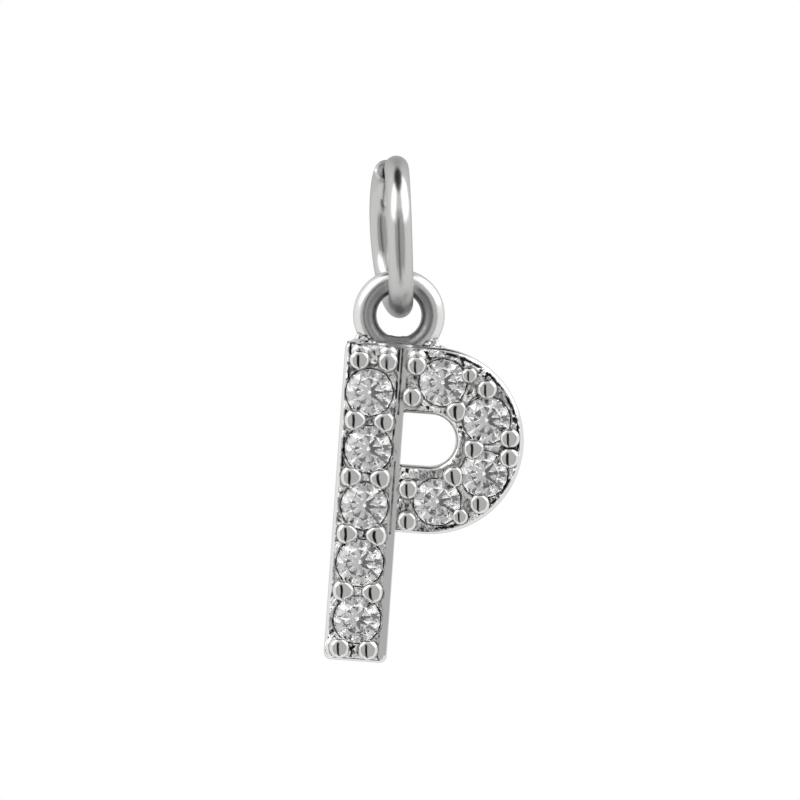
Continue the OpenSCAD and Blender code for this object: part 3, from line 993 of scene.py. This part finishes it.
# %% Break the rows into dashes
DASHES = 0.2
FRONT_DEPTH = 0.05
in_front = add_node(tree, "ShaderNodeMath", {"operation": "LESS_THAN"},
                    {0: off_face, 1: FRONT_DEPTH * MM})
in_row = add_node(tree, "ShaderNodeMath", {"operation": "MULTIPLY"}, {0: in_row, 1: in_front})
dashes = add_node(tree, "ShaderNodeTexNoise", inputs={
    "Vector": where, "Scale": 1 / (DASHES * MM), "Detail": 2.0})
dashes = add_node(tree, "ShaderNodeMapRange", inputs={
    "Value": dashes, "From Min": 0.5, "From Max": 0.54})
# the dashes join the corners' painted shade in the same mask
off_rows = add_node(tree, "ShaderNodeMath", {"operation": "SUBTRACT"}, {0: 1.0, 1: in_row})
dashes = add_node(tree, "ShaderNodeMath", {"operation": "MAXIMUM"}, {0: dashes, 1: off_rows})
clear_of_dark_shade = add_node(tree, "ShaderNodeMath", {"operation": "MULTIPLY"}, {0: clear_of_dark_shade, 1: dashes})
print("nodes so far:", len(tree.nodes))

# %% [markdown]
# The masks now become colour and dullness. The metal is painted greyer inside the loop as painted
# shade, whiter where it is as cast, and nearly black with painted shade in corners, pits and
# dashes. Tumbling leaves low waves half a millimetre wide, which are a little duller in places.

# %% The plate's colour and dullness
WAVES = 0.5
# A4A4A6 is the loop's inner side painted grey, as painted shade
bright = add_node(tree, "ShaderNodeMix", {"data_type": "RGBA"},
                  {0: in_loop, 6: colour("#E0E0DF"), 7: colour("#A4A4A6")}).outputs[2]
bright = add_node(tree, "ShaderNodeMix", {"data_type": "RGBA"},
                  {0: as_cast, 6: bright, 7: colour("#FAFAF8")}).outputs[2]
# 222224 is the painted shade of the corners, pits and dashes
tint = add_node(tree, "ShaderNodeMix", {"data_type": "RGBA"},
                {0: clear_of_dark_shade, 6: colour("#222224"), 7: bright}).outputs[2]
tree.links.new(tint, metal.inputs["Base Color"])

waves = add_node(tree, "ShaderNodeTexNoise", inputs={
    "Vector": where, "Scale": 1 / (WAVES * MM), "Detail": 2.0})
haze = add_node(tree, "ShaderNodeMapRange", inputs={
    "Value": waves, "From Min": 0.3, "From Max": 0.7, "To Min": 0.03, "To Max": 0.09})
haze = add_node(tree, "ShaderNodeMath", {"operation": "MULTIPLY_ADD"},
                {0: as_cast, 1: 0.12, 2: haze})
haze = add_node(tree, "ShaderNodeMath", {"operation": "ADD"}, {0: haze, 1: by_loop})
tree.links.new(haze.outputs[0], metal.inputs["Roughness"])
print("colour and dullness of", plate.name)

# %% [markdown]
# No polished edge is quite sharp. The Bevel node rounds the shading over each edge, by 0.02 mm,
# and by more inside the loop. Two bumps lie over that: the low waves of the tumbling, and the
# grain of the casting, which goes only as deep as the mask says.

# %% The plate's relief
GRAIN = 0.2
GRAIN_RELIEF = 0.16
WAVE_RELIEF = 0.01
radius = add_node(tree, "ShaderNodeMath", {"operation": "MULTIPLY_ADD"},
                  {0: in_loop, 1: 0.06 * MM, 2: 0.02 * MM})
softened = add_node(tree, "ShaderNodeBevel", {"samples": 4}, {"Radius": radius})
rolling = add_node(tree, "ShaderNodeBump", inputs={
    "Height": waves, "Strength": 1.0, "Distance": WAVE_RELIEF * MM, "Normal": softened})
sand = add_node(tree, "ShaderNodeTexNoise", inputs={
    "Vector": where, "Scale": 1 / (GRAIN * MM), "Detail": 3.0})
grain = add_node(tree, "ShaderNodeBump", inputs={
    "Height": sand, "Strength": as_cast, "Distance": GRAIN_RELIEF * MM, "Normal": rolling})
tree.links.new(grain.outputs[0], metal.inputs["Normal"])
letter.data.materials.clear()
letter.data.materials.append(plate)
print("plate on", letter.name, "with", len(tree.nodes), "nodes")

# %% [markdown]
# ## Plate on drawn wire
# The jump ring carries the same plate over drawn wire. The drawing plate leaves fine lines along
# the wire, a few thousandths of a millimetre apart. They are too fine to draw one by one, so the
# shader's anisotropy stands for them: it spreads each reflection across the wire into soft bands.
# The tangent runs round the ring's own axis, which is nearly the frame's X axis. The ring's
# lowest stretch is worn matt by the loop.

# %% Drawn wire
DENTS = 0.6
DENT_RELIEF = 0.008
WORN_FROM = 1.0     # heights above the hinge, where the wear begins and where it is full
WORN_TO = 0.1
wire = bpy.data.materials.new("silver_plate_on_drawn_wire")
wire.use_nodes = True
tree = wire.node_tree
metal = tree.nodes["Principled BSDF"]
metal.inputs["Metallic"].default_value = 1.0
metal.inputs["Anisotropic"].default_value = 0.75
metal.inputs["Anisotropic Rotation"].default_value = 0.25
round_ring = add_node(tree, "ShaderNodeTangent", {"direction_type": "RADIAL", "axis": "X"})
tree.links.new(round_ring.outputs[0], metal.inputs["Tangent"])
where = add_node(tree, "ShaderNodeTexCoord").outputs["Object"]
level = add_node(tree, "ShaderNodeSeparateXYZ", inputs={0: where}).outputs["Z"]
worn = add_node(tree, "ShaderNodeMapRange", {"interpolation_type": "SMOOTHSTEP"}, {
    "Value": level, "From Min": pivot.z + WORN_TO * MM, "From Max": pivot.z + WORN_FROM * MM,
    "To Min": 0.42, "To Max": 0.2})
tree.links.new(worn.outputs[0], metal.inputs["Roughness"])
dents = add_node(tree, "ShaderNodeTexNoise", inputs={
    "Vector": where, "Scale": 1 / (DENTS * MM), "Detail": 1.0})
dents = add_node(tree, "ShaderNodeBump", inputs={
    "Height": dents, "Strength": 1.0, "Distance": DENT_RELIEF * MM})
tree.links.new(dents.outputs[0], metal.inputs["Normal"])
print("worn below", round(pivot.z / MM + WORN_FROM, 2), "mm")

# %% [markdown]
# Painted shade darkens the seam, where the two cut ends face each other, and it stands for the
# dark marks that the pliers and the saw left there as well. It is found as the letter's corners
# were, but only_local looks at the ring alone, so that the loop that hangs in it adds none.

# %% Painted shade and marks in the seam
SEAM_REACH = 0.3
SEAM_NOISE = 0.12
open_air = add_node(tree, "ShaderNodeAmbientOcclusion", {"samples": 8, "only_local": True},
                    {"Distance": SEAM_REACH * MM}).outputs["AO"]
seam_noise = add_node(tree, "ShaderNodeTexNoise", inputs={
    "Vector": where, "Scale": 1 / (SEAM_NOISE * MM), "Detail": 2.0})
seam_noise = add_node(tree, "ShaderNodeMapRange", inputs={
    "Value": seam_noise, "From Min": 0.3, "From Max": 0.7, "To Min": -0.2, "To Max": 0.2})
clear_of_dark_shade = add_node(tree, "ShaderNodeMath", {"operation": "ADD"}, {0: open_air, 1: seam_noise})
clear_of_dark_shade = add_node(tree, "ShaderNodeMapRange", inputs={
    "Value": clear_of_dark_shade, "From Min": 0.5, "From Max": 0.78})
# 2A2A2C is painted shade in the seam, standing for its tool marks as well
tint = add_node(tree, "ShaderNodeMix", {"data_type": "RGBA"},
                {0: clear_of_dark_shade, 6: colour("#2A2A2C"), 7: colour("#C6C6C5")}).outputs[2]
tree.links.new(tint, metal.inputs["Base Color"])
ring.data.materials.clear()
ring.data.materials.append(wire)
print("wire on", ring.name, "with", len(tree.nodes), "nodes")

# %% [markdown]
# ## Cut stones
# The stones are cubic zirconia, cut as round brilliants and polished. The material bends light
# far more than glass does, 2.15 against 1.5, so the facets below throw the light back out. Their
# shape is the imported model's own, and only the material is made here. Wiping leaves a faint haze
# in patches.

# %% Clear stone
WIPES = 0.3
stone = bpy.data.materials.new("cubic_zirconia_polished")
stone.use_nodes = True
tree = stone.node_tree
gem = tree.nodes["Principled BSDF"]
gem.inputs["Base Color"].default_value = colour("#FFFFFF")
gem.inputs["IOR"].default_value = 2.15
gem.inputs["Transmission Weight"].default_value = 0.95
where = add_node(tree, "ShaderNodeTexCoord").outputs["Object"]
wipes = add_node(tree, "ShaderNodeTexNoise", inputs={"Vector": where, "Scale": 1 / (WIPES * MM)})
haze = add_node(tree, "ShaderNodeMapRange", inputs={
    "Value": wipes, "From Min": 0.45, "From Max": 0.8, "To Min": 0.0, "To Max": 0.01})
tree.links.new(haze.outputs[0], gem.inputs["Roughness"])
stones = [node for name, node in frame["nodes"].items() if "stone" in name]
for node in stones:
    node.data.materials.clear()
    node.data.materials.append(stone)
print("stones:", len(stones))
